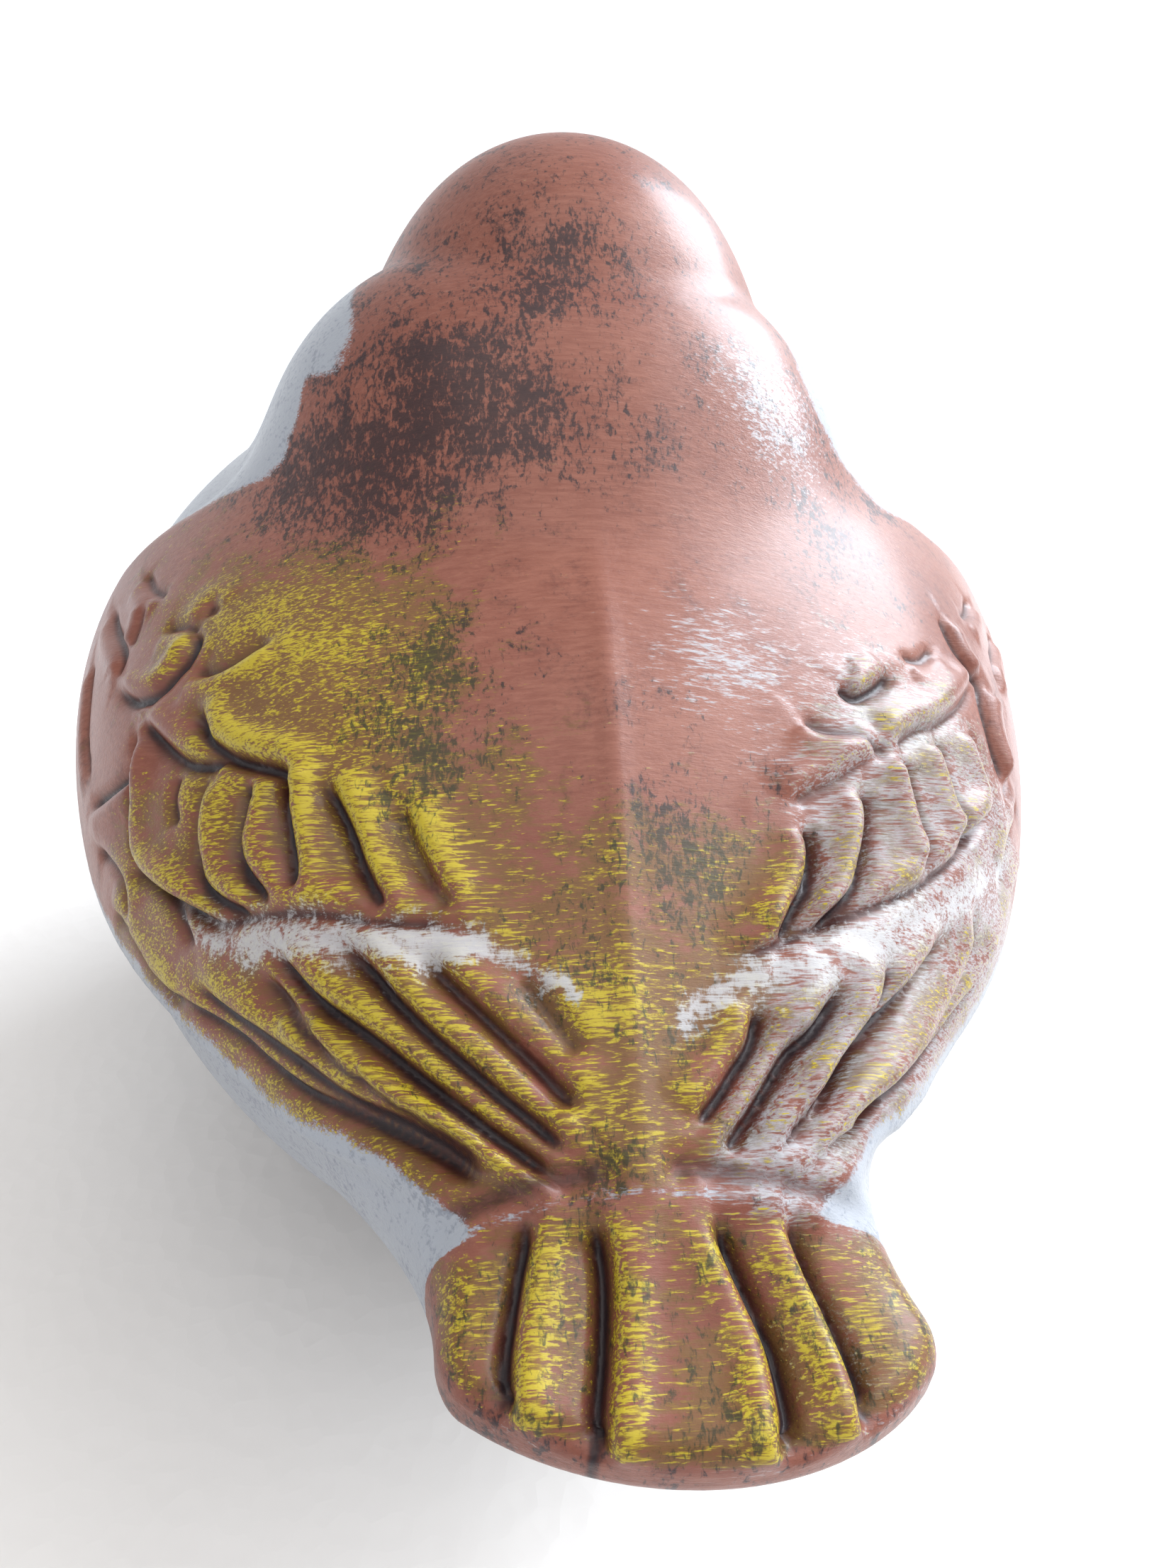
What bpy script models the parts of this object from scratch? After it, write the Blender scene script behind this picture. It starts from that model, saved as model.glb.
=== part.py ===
import bpy
import bmesh
import math
import numpy as np

# Real height of the whole figurine, metres. The sizes below it are millimetres
# on a pattern, and the finished pattern is brought to this height.
overall_height = 0.180

# Voxel of the first dense skin, and the triangle budget of the finished solid.
skin_step = 1.25
triangle_budget = 9300

# Body: an egg lying along Y, blunt at the breast (-Y) and tapering to the tail (+Y).
body_centre = (0.0, -77.0, 58.8)
body_half_width = 71.6
body_half_height = 61.2
body_rear_length = 94.0
body_front_length = 70.0
body_tilt = math.radians(-5.9)
body_taper = 0.19

# Head: a dome over two cheek swellings.
crown_centre = (0.0, -91.6, 116.8)
crown_radii = (28.5, 32.0, 31.8)
cheek_centre = (2.4, -78.0, 112.8)
cheek_radii = (36.8, 28.6, 24.6)
neck_blend = 19.0
neck_side_blend = 14.0
cheek_blend = 1.5
beak_centre = (0.0, -124.5, 109.0)
beak_radii = (6.8, 15.0, 6.2)
eye_position = (22.4, -110.0, 121.0)
eye_radius = 4.2

# Rump and tail.
rump_centre = (0.0, 4.0, 68.0)
rump_radii = (24.0, 26.0, 15.0)
rump_blend = 16.0
tail_root = (-8.0, 72.0)
tail_length = 52.3
tail_half_width = (10.5, 23.3)
tail_half_thickness = (6.0, 3.2)
tail_tilt = math.radians(-0.5)
tail_end_bow = 9.5
tail_edge_radius = 2.6
tail_edge_drop = 3.0
tail_sway = -0.09
tail_blend = 10.0

# Wing pattern: millimetres forward of the tail root and degrees round from the spine.
pattern_start = np.array((0.0, 25.0, 72.0))
pattern_axis = np.array((0.0, -0.99353, -0.11354))
pattern_up = np.array((0.0, -0.11354, 0.99353))
wing_edge_at = (-2.0, 1.5, 6.7, 12.8, 19.0, 26.5, 50.0, 62.0, 75.0, 88.0, 96.0)
wing_edge_phi = (74.0, 79.0, 84.5, 90.5, 93.0, 94.4, 93.5, 92.0, 88.0, 83.0, 78.0)
wing_front_phi = (0.0, 20.0, 36.0, 52.0, 64.0, 80.0, 140.0)
wing_front_at = (66.0, 74.0, 86.0, 92.0, 99.0, 102.0, 102.0)
wing_proud = 3.2
overall_reach = 110.0
right_wing_shift = 5.0

# Feather lines fan out between anchors, given as degrees and millimetres.
covert_count = 7
covert_root = ((38.2, 31.0), (50.9, 38.5), (60.5, 44.5), (67.0, 57.5))
covert_bend = ((38.8, 26.0), (54.5, 34.0), (67.5, 38.0), (77.0, 46.0))
covert_tip = ((36.3, 21.0), (56.5, 26.5), (67.5, 30.5), (72.8, 32.5))
flight_count = 7
flight_top = ((29.0, 14.9), (57.5, 23.0), (71.5, 27.5), (88.5, 38.0))
flight_bend = ((24.5, 11.8), (53.0, 13.4), (70.0, 15.5), (83.0, 20.0))
flight_root = ((17.0, 8.3), (32.3, 1.7), (54.0, 1.2), (64.0, 0.9))
covert_end = ((34.0, 18.9), (50.0, 22.4), (62.0, 27.8), (68.0, 30.7), (72.8, 33.3), (78.3, 46.0))
shoulder_lines = (
    ((57.2, 52.0), (57.3, 45.0), (51.5, 38.8), (52.4, 36.2)),
    ((65.2, 58.0), (63.0, 49.0), (57.0, 44.0)),
    ((67.3, 59.0), (71.0, 55.5), (81.7, 64.0)),
    ((45.0, 54.0), (52.0, 54.0), (56.0, 57.0)),
    ((54.0, 62.0), (57.4, 58.7), (63.0, 59.5), (68.0, 69.0)),
    ((59.2, 82.0), (58.4, 77.4), (56.6, 72.9)),
    ((66.3, 86.0), (65.5, 77.0), (67.3, 70.0)),
    ((84.0, 59.0), (82.2, 51.0), (85.0, 46.0)),
)
line_cut = 1.6
line_lip = 1.0
line_trough = 0.7
line_width = 1.15
spine_ridge = 0.8
root_crease = 1.2

# Lines of the tail: millimetres across at the wing tips and at the tail end.
tail_line_start = (9.4, 3.9, -6.3, -12.8)
tail_line_end = (11.7, 5.0, -9.3, -15.9)
tail_line_from = 26.0
tail_line_to = 46.5
tail_cut = 1.7
tail_trough = 0.45

# Height of the cut that makes the flat foot, above the lowest point of the egg.
foot_cut = 3.0


def ellipsoid(p, centre, radii):
    q = p - np.array(centre)
    r = np.array(radii)
    k0 = np.sqrt(((q / r) ** 2).sum(axis=1)) + 1e-9
    k1 = np.sqrt(((q / r ** 2) ** 2).sum(axis=1)) + 1e-9
    return k0 * (k0 - 1.0) / k1


def blend(a, b, k):
    h = np.maximum(k - np.abs(a - b), 0.0) / k
    return np.minimum(a, b) - h * h * k * 0.25


def smooth(x, low, high):
    t = np.clip((x - low) / (high - low), 0.0, 1.0)
    return t * t * (3.0 - 2.0 * t)


def body_form(p):
    c = math.cos(body_tilt)
    s = math.sin(body_tilt)
    x = p[:, 0]
    y = p[:, 1] - body_centre[1]
    z = p[:, 2] - body_centre[2]
    along = y * c - z * s
    up = y * s + z * c
    shrink = 1.0 - body_taper * np.clip(along / body_rear_length, -0.75, 1.2)
    x = x / shrink
    up = up / shrink
    length = np.where(along > 0.0, body_rear_length, body_front_length)
    k0 = np.sqrt((x / body_half_width) ** 2 + (along / length) ** 2 + (up / body_half_height) ** 2) + 1e-9
    k1 = np.sqrt((x / body_half_width ** 2) ** 2 + (along / length ** 2) ** 2
                 + (up / body_half_height ** 2) ** 2) + 1e-9
    return k0 * (k0 - 1.0) / k1 * 0.9


def tail_axes(p):
    c = math.cos(tail_tilt)
    s = math.sin(tail_tilt)
    y = p[:, 1] - tail_root[0]
    z = p[:, 2] - tail_root[1]
    along = y * c + z * s
    up = z * c - y * s
    share = np.clip(along / tail_length, 0.0, 1.0)
    half = tail_half_width[0] + (tail_half_width[1] - tail_half_width[0]) * share
    side = (p[:, 0] - tail_sway * along) / half
    return along, up, side, share, half


def tail_form(p):
    along, up, side, share, half = tail_axes(p)
    thick = tail_half_thickness[0] + (tail_half_thickness[1] - tail_half_thickness[0]) * share
    bowed = along + tail_end_bow * side ** 2
    arched = up + tail_edge_drop * side ** 2
    r = tail_edge_radius
    q = np.stack([np.abs(side) * half - (half - r),
                  np.abs(bowed - tail_length / 2) - (tail_length / 2 - r),
                  np.abs(arched) - (thick - r)], axis=1)
    outside = np.sqrt((np.maximum(q, 0.0) ** 2).sum(axis=1))
    return outside + np.minimum(q.max(axis=1), 0.0) - r


def bird_form(p):
    crown = ellipsoid(p, crown_centre, crown_radii)
    head = blend(crown, ellipsoid(p, cheek_centre, cheek_radii), cheek_blend)
    head = blend(head, ellipsoid(p, beak_centre, beak_radii), 5.0)
    eye = np.sqrt((np.abs(p[:, 0]) - eye_position[0]) ** 2 + (p[:, 1] - eye_position[1]) ** 2
                  + (p[:, 2] - eye_position[2]) ** 2) - eye_radius
    neck = neck_blend + (neck_side_blend - neck_blend) * smooth(np.abs(p[:, 0]), 20.0, 38.0)
    form = blend(body_form(p), head, neck)
    form = blend(form, eye, 1.5)
    form = blend(form, ellipsoid(p, rump_centre, rump_radii), rump_blend)
    return blend(form, tail_form(p), tail_blend)


def gradient(form, p, step=0.4):
    g = np.zeros_like(p)
    for axis in range(3):
        d = np.zeros(3)
        d[axis] = step
        g[:, axis] = (form(p + d) - form(p - d)) / (2.0 * step)
    return g


def wing_axes(p):
    q = p - pattern_start
    forward = q @ pattern_axis
    up = q @ pattern_up
    phi = np.degrees(np.arctan2(np.abs(q[:, 0]), up))
    reach = np.hypot(q[:, 0], up)
    return forward, phi, reach, q[:, 0] > 0.0


# Point of the form at each wing place, found from outside along a spoke of the pattern.
def cast_on_wing(places):
    phi = np.radians(np.array([place[0] for place in places]))
    forward = np.array([place[1] for place in places])
    side = np.array((1.0, 0.0, 0.0))
    spoke = np.cos(phi)[:, None] * pattern_up + np.sin(phi)[:, None] * side
    p = pattern_start + forward[:, None] * pattern_axis + spoke * overall_reach
    for step in range(160):
        p = p - spoke * bird_form(p)[:, None] * 0.7
    return p


def cast_on_tail(places):
    p = np.array([(place[0], place[1], overall_reach) for place in places])
    for step in range(160):
        p[:, 2] -= bird_form(p) * 0.7
    return p


# A smooth curve through a few places.
def finer(places, count=5):
    places = np.array(places)
    ends = np.vstack([2 * places[0] - places[1], places, 2 * places[-1] - places[-2]])
    rows = []
    for i in range(len(places) - 1):
        a, b, c, d = ends[i:i + 4]
        for t in np.arange(count) / count:
            rows.append(0.5 * (2 * b + (c - a) * t + (2 * a - 5 * b + 4 * c - d) * t ** 2
                               + (3 * b - a - 3 * c + d) * t ** 3))
    rows.append(places[-1])
    return np.array(rows)


# The lines of a fan, each through its own place between the anchors.
def fan_lines(count, *anchors):
    steps = np.linspace(0.0, 1.0, len(anchors[0]))
    lines = []
    for i in range(count):
        share = i / (count - 1)
        line = []
        for anchor in anchors:
            line.append(tuple(np.interp(share, steps, column) for column in zip(*anchor)))
        lines.append(line)
    return lines


# Signed distance to a line on the surface, positive on its spine side, and the share along it.
def line_distance(p, n, line):
    best = np.full(len(p), 1e9)
    side = np.zeros(len(p))
    share = np.zeros(len(p))
    total = len(line) - 1
    for i in range(total):
        a = line[i]
        run = line[i + 1] - a
        t = np.clip(((p - a) @ run) / (run @ run), 0.0, 1.0)
        gap = p - a - t[:, None] * run
        d = np.linalg.norm(gap, axis=1)
        closer = d < best
        turn = (np.cross(n, run) * gap).sum(axis=1)
        best = np.where(closer, d, best)
        side = np.where(closer, turn, side)
        share = np.where(closer, (i + t) / total, share)
    return best * np.where(side >= 0.0, 1.0, -1.0), share


# Profile of one carved line: a cut, a lip on one side and a shallow trough on the other.
def line_profile(p, n, line, cut, lip, trough):
    near = np.nonzero(((p > line.min(axis=0) - 9.0) & (p < line.max(axis=0) + 9.0)).all(axis=1))[0]
    d, share = line_distance(p[near], n[near], line)
    ends = 0.15 + 0.85 * smooth(share, 0.0, 0.14) * (1.0 - smooth(share, 0.86, 1.0))
    d = d * np.sign(lip)
    groove = cut * np.exp(-(d / line_width) ** 2)
    ridge = abs(lip) * np.exp(-((d - 2.0 * line_width) / (1.5 * line_width)) ** 2)
    hollow = trough * np.where(d < 0.0, np.exp(-(d / 3.4) ** 2), np.exp(-(d / line_width) ** 2))
    height = np.zeros(len(p))
    height[near] = (ridge - groove - hollow) * ends * (1.0 - smooth(np.abs(d), 7.0, 9.0))
    return height


# Height of the carving over the plain form at each point, pattern millimetres.
def carving(p):
    n = gradient(bird_form, p)
    n = n / (np.linalg.norm(n, axis=1, keepdims=True) + 1e-9)
    forward, phi, reach, left = wing_axes(p)
    edge = np.interp(forward, wing_edge_at, wing_edge_phi)
    front = np.interp(phi, wing_front_phi, wing_front_at)
    to_edge = (edge - phi) * math.radians(1.0) * np.clip(reach, 18.0, 80.0)
    to_front = front - forward
    inside = np.minimum(blend(to_edge, to_front, 14.0), forward + 1.5)
    softness = 1.7 + 4.0 * smooth(forward, 55.0, 85.0)
    proud = wing_proud * smooth(inside, -softness, softness) * smooth(phi, 20.0, 62.0)
    proud = proud * (0.3 + 0.7 * smooth(forward, 0.0, 20.0))

    # The right wing carries the same lines a little nearer the spine.
    mirrored = p.copy()
    mirrored[:, 0] = np.abs(p[:, 0])
    facing = n.copy()
    facing[:, 0] = np.where(left, n[:, 0], -n[:, 0])
    fans = fan_lines(covert_count, covert_root, covert_bend, covert_tip)
    fans += fan_lines(flight_count, flight_top, flight_bend, flight_root)
    lines = [(line, line_cut, line_lip, line_trough) for line in fans]
    lines += [(line, line_cut, line_lip, line_trough * 0.5) for line in shoulder_lines[:4]]
    lines += [(line, line_cut * 0.8, -line_lip * 0.8, 0.2) for line in shoulder_lines[4:7]]
    lines += [(shoulder_lines[7], line_cut * 0.7, line_lip * 0.6, 0.4)]
    lines += [(covert_end[::-1], line_cut * 0.6, line_lip * 0.9, 0.0)]
    feathers = np.zeros(len(p))
    for places, cut, lip, trough in lines:
        for wing, shift in ((left, 0.0), (~left, right_wing_shift)):
            own = np.nonzero(wing & (forward > -8.0))[0]
            moved = [(place[0] - shift, place[1]) for place in places]
            line = cast_on_wing(finer(moved))
            feathers[own] += line_profile(mirrored[own], facing[own], line, cut, lip, trough)

    ridge = spine_ridge * np.exp(-(p[:, 0] / 1.6) ** 2)
    ridge = ridge * smooth(forward, -9.0, 2.0) * (1.0 - smooth(forward, 58.0, 70.0)) * (p[:, 2] > 60.0)
    crease = root_crease * np.exp(-((forward - 0.4) / 1.8) ** 2)
    crease = crease * smooth(phi, 8.0, 22.0) * (1.0 - smooth(phi, 74.0, 92.0))
    tail = np.zeros(len(p))
    for start, end in zip(tail_line_start, tail_line_end):
        middle = (start + end) / 2 + 0.1 * start
        places = [(start, tail_line_from), (middle, 34.0), (end, 41.0), (end, tail_line_to)]
        line = cast_on_tail(finer(places))
        tail += line_profile(p, n, line, tail_cut, line_lip * 0.6 * math.copysign(1.0, start), tail_trough)
    tail = tail * smooth(n[:, 2], 0.1, 0.6)
    return proud + feathers + ridge - crease + tail


def add_seed(centre, radii):
    bpy.ops.mesh.primitive_uv_sphere_add(segments=64, ring_count=32, radius=1.0, location=centre)
    seed = bpy.context.object
    seed.scale = radii
    bpy.ops.object.transform_apply(location=True, rotation=True, scale=True)
    return seed


# A slab bent to the outline of the tail, just inside its form.
def add_tail_seed():
    bpy.ops.mesh.primitive_cube_add(size=2.0, location=(0.0, 0.0, 0.0))
    seed = bpy.context.object
    bpy.ops.object.mode_set(mode="EDIT")
    bpy.ops.mesh.subdivide(number_cuts=13)
    bpy.ops.object.mode_set(mode="OBJECT")
    p = read_points(seed.data)
    side = p[:, 0] * 0.95
    along = tail_length * (0.5 + 0.48 * p[:, 1]) - tail_end_bow * side ** 2
    share = np.clip(along / tail_length, 0.0, 1.0)
    half = tail_half_width[0] + (tail_half_width[1] - tail_half_width[0]) * share
    thick = tail_half_thickness[0] + (tail_half_thickness[1] - tail_half_thickness[0]) * share
    up = p[:, 2] * (thick - 0.3) - tail_edge_drop * side ** 2
    p = np.stack([side * half + tail_sway * along, tail_root[0] + along, tail_root[1] + up], axis=1)
    write_points(seed.data, p)
    return seed


def build_skin():
    seeds = [
        add_seed(body_centre, (body_half_width * 0.9, body_front_length * 0.95, body_half_height * 0.9)),
        add_seed((0.0, body_centre[1] + body_rear_length * 0.5, body_centre[2] + 5.0),
                 (body_half_width * 0.67, body_rear_length * 0.45, body_half_height * 0.65)),
        add_seed(crown_centre, crown_radii),
        add_seed(cheek_centre, cheek_radii),
        add_seed(beak_centre, beak_radii),
        add_seed(rump_centre, rump_radii),
    ]
    seeds.append(add_tail_seed())
    bpy.ops.object.select_all(action="DESELECT")
    for seed in seeds:
        seed.select_set(True)
    bpy.context.view_layer.objects.active = seeds[0]
    bpy.ops.object.join()
    skin = bpy.context.object
    skin.name = "sparrow"
    skin.data.name = "sparrow"
    remesh = skin.modifiers.new("skin", "REMESH")
    remesh.mode = "VOXEL"
    remesh.voxel_size = skin_step
    bpy.ops.object.modifier_apply(modifier=remesh.name)
    return skin


def read_points(mesh):
    p = np.empty(len(mesh.vertices) * 3)
    mesh.vertices.foreach_get("co", p)
    return p.reshape(-1, 3)


def write_points(mesh, p):
    mesh.vertices.foreach_set("co", p.ravel())
    mesh.update()


# Pull the skin onto the blended form, evening the spacing between pulls.
def fit_skin(skin):
    mesh = skin.data
    edges = np.empty(len(mesh.edges) * 2, dtype=np.int64)
    mesh.edges.foreach_get("vertices", edges)
    edges = edges.reshape(-1, 2)
    p = read_points(mesh)
    degree = np.bincount(edges.ravel(), minlength=len(p)).astype(float)[:, None]
    for turn in range(14):
        total = np.zeros_like(p)
        np.add.at(total, edges[:, 0], p[edges[:, 1]])
        np.add.at(total, edges[:, 1], p[edges[:, 0]])
        p = p + (total / degree - p) * 0.45
        for pull in range(2):
            f = bird_form(p)
            g = gradient(bird_form, p)
            size = (g ** 2).sum(axis=1) + 1e-6
            move = -(f / size)[:, None] * g
            reach = np.linalg.norm(move, axis=1, keepdims=True)
            p = p + move * np.minimum(1.0, 3.0 / (reach + 1e-9))
    g = gradient(bird_form, p)
    normal = g / (np.linalg.norm(g, axis=1, keepdims=True) + 1e-9)
    p = p + normal * carving(p)[:, None]
    write_points(mesh, p)


def lighten(skin):
    count = sum(len(face.vertices) - 2 for face in skin.data.polygons)
    decimate = skin.modifiers.new("lighten", "DECIMATE")
    decimate.decimate_type = "COLLAPSE"
    decimate.ratio = triangle_budget / count
    decimate.use_collapse_triangulate = True
    bpy.ops.object.modifier_apply(modifier=decimate.name)


# Flat foot, then the real size, with the origin under the middle of the box.
def set_down(skin):
    mesh = skin.data
    p = read_points(mesh)
    low = p[:, 2].min()
    bm = bmesh.new()
    bm.from_mesh(mesh)
    everything = bm.verts[:] + bm.edges[:] + bm.faces[:]
    cut = bmesh.ops.bisect_plane(bm, geom=everything, dist=0.02, plane_co=(0.0, 0.0, low + foot_cut),
                                 plane_no=(0.0, 0.0, -1.0), clear_outer=True)
    rim = [item for item in cut["geom_cut"] if isinstance(item, bmesh.types.BMEdge)]
    bmesh.ops.holes_fill(bm, edges=rim, sides=0)
    bmesh.ops.remove_doubles(bm, verts=bm.verts[:], dist=0.15)
    bmesh.ops.dissolve_degenerate(bm, edges=bm.edges[:], dist=0.05)
    bmesh.ops.triangulate(bm, faces=bm.faces[:])
    bmesh.ops.recalc_face_normals(bm, faces=bm.faces[:])
    bm.to_mesh(mesh)
    bm.free()
    p = read_points(mesh)
    floor = p[:, 2].min()
    p[p[:, 2] < floor + 0.05, 2] = floor
    middle = (p.min(axis=0) + p.max(axis=0)) / 2
    p = p - np.array((middle[0], middle[1], floor))
    scale = overall_height / p[:, 2].max()
    write_points(mesh, p * scale)
    print("pattern origin", middle[0], middle[1], floor, "scale", scale)


def finish_skin(skin):
    for face in skin.data.polygons:
        face.use_smooth = True
    paint = bpy.data.materials.new("painted_ceramic")
    paint.use_nodes = True
    shader = paint.node_tree.nodes["Principled BSDF"]
    shader.inputs["Base Color"].default_value = (0.30, 0.115, 0.065, 1.0)
    shader.inputs["Roughness"].default_value = 0.38
    skin.data.materials.clear()
    skin.data.materials.append(paint)


for old in list(bpy.data.objects):
    bpy.data.objects.remove(old, do_unlink=True)

sparrow = build_skin()
fit_skin(sparrow)
lighten(sparrow)
set_down(sparrow)
finish_skin(sparrow)
print("sparrow triangles", len(sparrow.data.polygons))
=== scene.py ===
import bpy
import math
import numpy as np
from mathutils import Matrix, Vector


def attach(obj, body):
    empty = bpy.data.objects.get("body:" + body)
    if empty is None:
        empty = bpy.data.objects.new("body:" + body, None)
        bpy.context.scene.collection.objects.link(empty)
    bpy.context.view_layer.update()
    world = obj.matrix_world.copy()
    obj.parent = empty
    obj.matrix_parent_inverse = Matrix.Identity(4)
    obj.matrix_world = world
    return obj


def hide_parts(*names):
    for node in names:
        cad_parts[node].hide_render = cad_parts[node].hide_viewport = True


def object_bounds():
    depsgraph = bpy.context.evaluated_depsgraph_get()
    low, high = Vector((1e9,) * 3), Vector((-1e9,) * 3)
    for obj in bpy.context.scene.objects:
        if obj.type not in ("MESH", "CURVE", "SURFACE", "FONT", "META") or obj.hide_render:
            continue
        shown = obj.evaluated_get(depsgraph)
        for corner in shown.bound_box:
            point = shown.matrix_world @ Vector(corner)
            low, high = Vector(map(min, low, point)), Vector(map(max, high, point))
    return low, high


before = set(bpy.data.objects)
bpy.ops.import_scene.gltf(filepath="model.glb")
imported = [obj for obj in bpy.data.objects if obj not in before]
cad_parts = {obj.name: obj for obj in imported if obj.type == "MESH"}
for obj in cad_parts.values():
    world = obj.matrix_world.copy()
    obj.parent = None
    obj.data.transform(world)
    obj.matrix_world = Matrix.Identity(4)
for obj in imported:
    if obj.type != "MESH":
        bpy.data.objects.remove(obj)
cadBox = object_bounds()
print("frame loaded, box", [tuple(round(v, 4) for v in corner) for corner in cadBox])

# The form is worked out in millimetres on the maker's pattern, then brought to real size.
pattern = {
    "origin": (0.00679, -51.36142, -1.06132),
    "scale": 0.0012025968,
}

figure = {
    "name": "sparrowFigurine",
    "voxel": 0.00080,
    "triangles": 188000,
    "evenTurns": 10,
    "footHeight": 0.6,
    "levelTurns": 60,
}

body = {
    "centre": (0.0, -77.0, 58.8),
    "halfWidth": 71.6,
    "halfHeight": 61.2,
    "rear": 94.0,
    "front": 70.0,
    "tilt": math.radians(-5.9),
    "taper": 0.19,
}

head = {
    "crown": ((0.0, -91.6, 116.8), (28.5, 32.0, 31.8)),
    "cheeks": ((2.4, -78.0, 112.8), (36.8, 28.6, 24.6)),
    "cheekBlend": 1.5,
    "neckBlend": 19.0,
    "neckSideBlend": 14.0,
    "neckSideAt": (20.0, 38.0),
    "beakBlend": 5.0,
    "eyeBlend": 1.5,
    "beak": ((0.0, -124.5, 109.0), (6.8, 15.0, 6.2)),
    "eye": (22.4, -110.0, 121.0),
    "eyeRadius": 4.2,
}

tail = {
    "root": (-8.0, 72.0),
    "length": 52.3,
    "halfWidth": (10.5, 23.3),
    "halfThickness": (6.0, 3.2),
    "tilt": math.radians(-0.5),
    "endBow": 9.5,
    "edgeRadius": 2.6,
    "edgeDrop": 3.0,
    "sway": -0.09,
    "rump": ((0.0, 4.0, 68.0), (24.0, 26.0, 15.0)),
    "rumpBlend": 16.0,
    "rootBlend": 10.0,
}


def ellipsoid(p, centre, radii):
    q = p - np.array(centre)
    r = np.array(radii)
    k0 = np.sqrt(((q / r) ** 2).sum(axis=1)) + 1e-9
    k1 = np.sqrt(((q / r ** 2) ** 2).sum(axis=1)) + 1e-9
    return k0 * (k0 - 1.0) / k1


def blend(a, b, k):
    h = np.maximum(k - np.abs(a - b), 0.0) / k
    return np.minimum(a, b) - h * h * k * 0.25


def smooth(x, low, high):
    t = np.clip((x - low) / (high - low), 0.0, 1.0)
    return t * t * (3.0 - 2.0 * t)


def bell(x, width):
    return np.exp(-(x / width) ** 2)


def bodyForm(p):
    c = math.cos(body["tilt"])
    s = math.sin(body["tilt"])
    x = p[:, 0]
    y = p[:, 1] - body["centre"][1]
    z = p[:, 2] - body["centre"][2]
    along = y * c - z * s
    up = y * s + z * c
    shrink = 1.0 - body["taper"] * np.clip(along / body["rear"], -0.75, 1.2)
    x = x / shrink
    up = up / shrink
    length = np.where(along > 0.0, body["rear"], body["front"])
    w = body["halfWidth"]
    h = body["halfHeight"]
    k0 = np.sqrt((x / w) ** 2 + (along / length) ** 2 + (up / h) ** 2) + 1e-9
    k1 = np.sqrt((x / w ** 2) ** 2 + (along / length ** 2) ** 2 + (up / h ** 2) ** 2) + 1e-9
    return k0 * (k0 - 1.0) / k1 * 0.9


def tailAxes(p):
    c = math.cos(tail["tilt"])
    s = math.sin(tail["tilt"])
    y = p[:, 1] - tail["root"][0]
    z = p[:, 2] - tail["root"][1]
    along = y * c + z * s
    up = z * c - y * s
    share = np.clip(along / tail["length"], 0.0, 1.0)
    half = tail["halfWidth"][0] + (tail["halfWidth"][1] - tail["halfWidth"][0]) * share
    side = (p[:, 0] - tail["sway"] * along) / half
    return along, up, side, share, half


def tailForm(p):
    along, up, side, share, half = tailAxes(p)
    thick = tail["halfThickness"][0] + (tail["halfThickness"][1] - tail["halfThickness"][0]) * share
    bowed = along + tail["endBow"] * side ** 2
    arched = up + tail["edgeDrop"] * side ** 2
    r = tail["edgeRadius"]
    middle = tail["length"] / 2
    q = np.stack([np.abs(side) * half - (half - r), np.abs(bowed - middle) - (middle - r),
                  np.abs(arched) - (thick - r)], axis=1)
    outside = np.sqrt((np.maximum(q, 0.0) ** 2).sum(axis=1))
    return outside + np.minimum(q.max(axis=1), 0.0) - r


def eyeDistance(p):
    e = head["eye"]
    return np.sqrt((np.abs(p[:, 0]) - e[0]) ** 2 + (p[:, 1] - e[1]) ** 2 + (p[:, 2] - e[2]) ** 2)


def birdForm(p):
    skull = blend(ellipsoid(p, *head["crown"]), ellipsoid(p, *head["cheeks"]), head["cheekBlend"])
    skull = blend(skull, ellipsoid(p, *head["beak"]), head["beakBlend"])
    eye = eyeDistance(p)
    sideways = smooth(np.abs(p[:, 0]), *head["neckSideAt"])
    neck = head["neckBlend"] + (head["neckSideBlend"] - head["neckBlend"]) * sideways
    form = blend(bodyForm(p), skull, neck)
    form = blend(form, eye - head["eyeRadius"], head["eyeBlend"])
    form = blend(form, ellipsoid(p, *tail["rump"]), tail["rumpBlend"])
    return blend(form, tailForm(p), tail["rootBlend"])


def gradient(p, step=0.4):
    g = np.zeros_like(p)
    for axis in range(3):
        d = np.zeros(3)
        d[axis] = step
        g[:, axis] = (birdForm(p + d) - birdForm(p - d)) / (2.0 * step)
    return g


def normals(p):
    g = gradient(p)
    return g / (np.linalg.norm(g, axis=1, keepdims=True) + 1e-9)


def pullOntoForm(p, pulls=2):
    for pull in range(pulls):
        g = gradient(p)
        move = -(birdForm(p) / ((g ** 2).sum(axis=1) + 1e-6))[:, None] * g
        reach = np.linalg.norm(move, axis=1, keepdims=True)
        p = p + move * np.minimum(1.0, 3.0 / (reach + 1e-9))
    return p


# Wing pattern: millimetres forward of the tail root, degrees round from the spine.
wing = {
    "start": np.array((0.0, 25.0, 72.0)),
    "axis": np.array((0.0, -0.99353, -0.11354)),
    "up": np.array((0.0, -0.11354, 0.99353)),
    "edgeAt": (-2.0, 1.5, 6.7, 12.8, 19.0, 26.5, 33.0, 50.0, 62.0, 75.0, 88.0, 96.0),
    "edgePhi": (74.0, 79.0, 84.5, 90.5, 93.0, 94.4, 94.0, 93.5, 92.0, 88.0, 83.0, 78.0),
    "frontPhi": (0.0, 20.0, 30.0, 36.0, 52.0, 64.0, 80.0, 140.0),
    "frontAt": (66.0, 74.0, 91.0, 88.0, 92.0, 99.0, 102.0, 102.0),
    "proud": 3.2,
    "stepWidth": 1.6,
    "cornerBlend": 14.0,
}

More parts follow.
